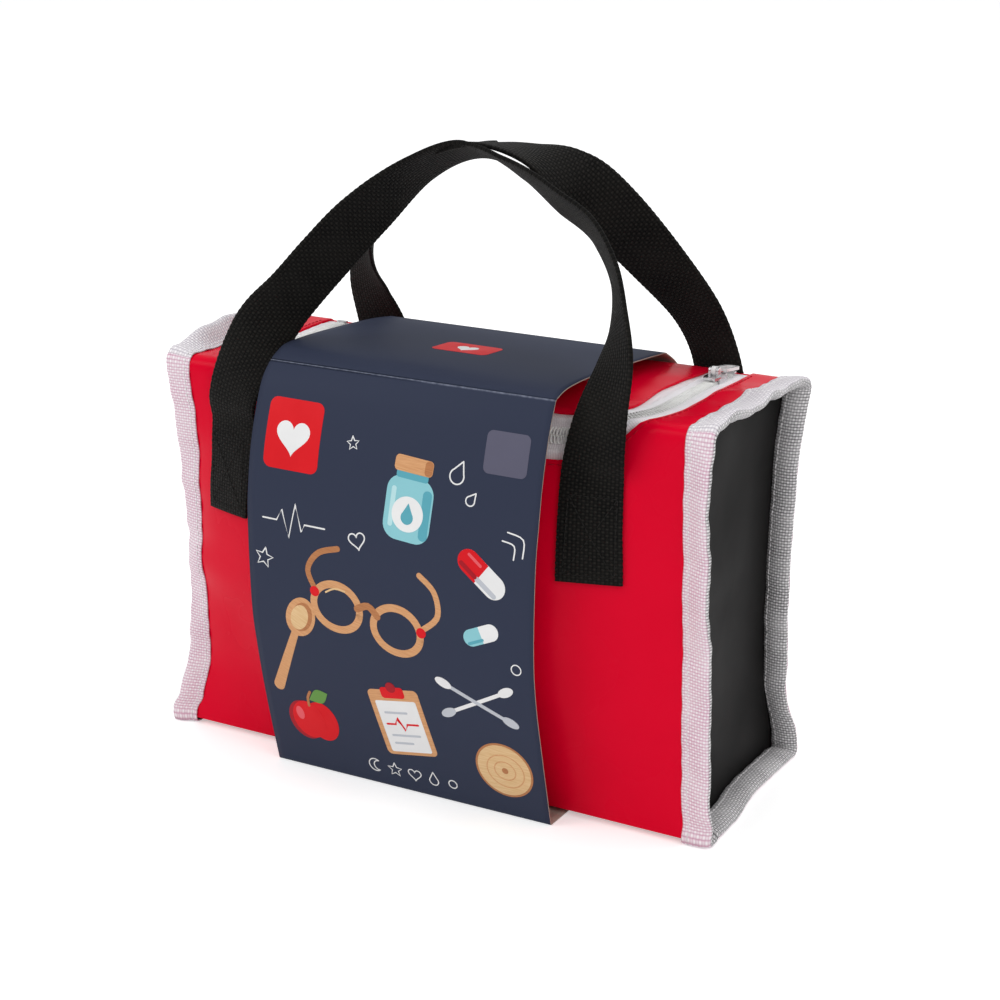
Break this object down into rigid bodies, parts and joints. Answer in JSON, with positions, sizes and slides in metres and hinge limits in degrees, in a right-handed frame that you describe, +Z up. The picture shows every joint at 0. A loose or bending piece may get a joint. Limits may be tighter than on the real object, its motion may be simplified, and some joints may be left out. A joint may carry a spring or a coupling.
{
  "type": "toy doctor case",
  "caption": "Soft zip-top toy case of glossy vinyl with bound end seams, a pair of webbing handles and a printed card sleeve; holds and carries a child's play instruments",
  "frame": {"origin": "on the floor under the middle of the case", "axes": "+X along the case to the end where the zip closes, +Y to the back of the case, +Z up"},
  "size_m": [0.2702, 0.1542, 0.2776],
  "materials": {
    "red_vinyl": "glossy red coated vinyl with soft waves and creases",
    "black_vinyl": "satin near-black coated vinyl",
    "binding_tape": "white ribbed woven tape, a little see-through",
    "zip_tape": "white woven zip tape with a satin sheen",
    "zip_coil": "white nylon coil",
    "zip_metal": "bright plated metal",
    "zip_pull_enamel": "white enamel on metal",
    "webbing": "black coarse plain-woven webbing",
    "printed_card": "matt slate-blue printed card, bare card at the cut edges"
  },
  "bodies": {
    "case": {"vinyl_wrap": "red_vinyl", "lid_panel": "red_vinyl", "end_panel_left": "black_vinyl", "end_panel_right": "black_vinyl", "binding_left": "binding_tape", "binding_right": "binding_tape", "zip_tape_outer": "zip_tape", "zip_tape_inner": "zip_tape", "zip_teeth_outer": "zip_coil", "zip_teeth_inner": "zip_coil", "zip_stops": "zip_metal", "front_strap_ends": "webbing", "back_strap_ends": "webbing"},
    "front_handle": {"front_handle": "webbing"},
    "back_handle": {"back_handle": "webbing"},
    "zip_slider": {"zip_slider": "zip_metal"},
    "zip_pull": {"zip_pull": "zip_pull_enamel"},
    "card_sleeve": {"card_sleeve": "printed_card"}
  },
  "joints": [
    {"name": "front_handle_swing", "type": "hinge", "parent": "case", "child": "front_handle", "pos_m": [0, -0.0589, 0.15], "axis": [1, 0, 0], "range_deg": [0, 155]},
    {"name": "back_handle_swing", "type": "hinge", "parent": "case", "child": "back_handle", "pos_m": [0, 0.0558, 0.15], "axis": [-1, 0, 0], "range_deg": [0, 165]},
    {"name": "zip_slider_run", "type": "slide", "parent": "case", "child": "zip_slider", "axis": [0, -1, 0], "range_m": [0, 0.038]},
    {"name": "zip_pull_turn", "type": "hinge", "parent": "zip_slider", "child": "zip_pull", "pos_m": [0.1, 0.025, 0.18029], "axis": [1, 0, 0], "range_deg": [0, 190]},
    {"name": "sleeve_shift", "type": "slide", "parent": "case", "child": "card_sleeve", "axis": [1, 0, 0], "range_m": [-0.002, 0.002]}
  ]
}
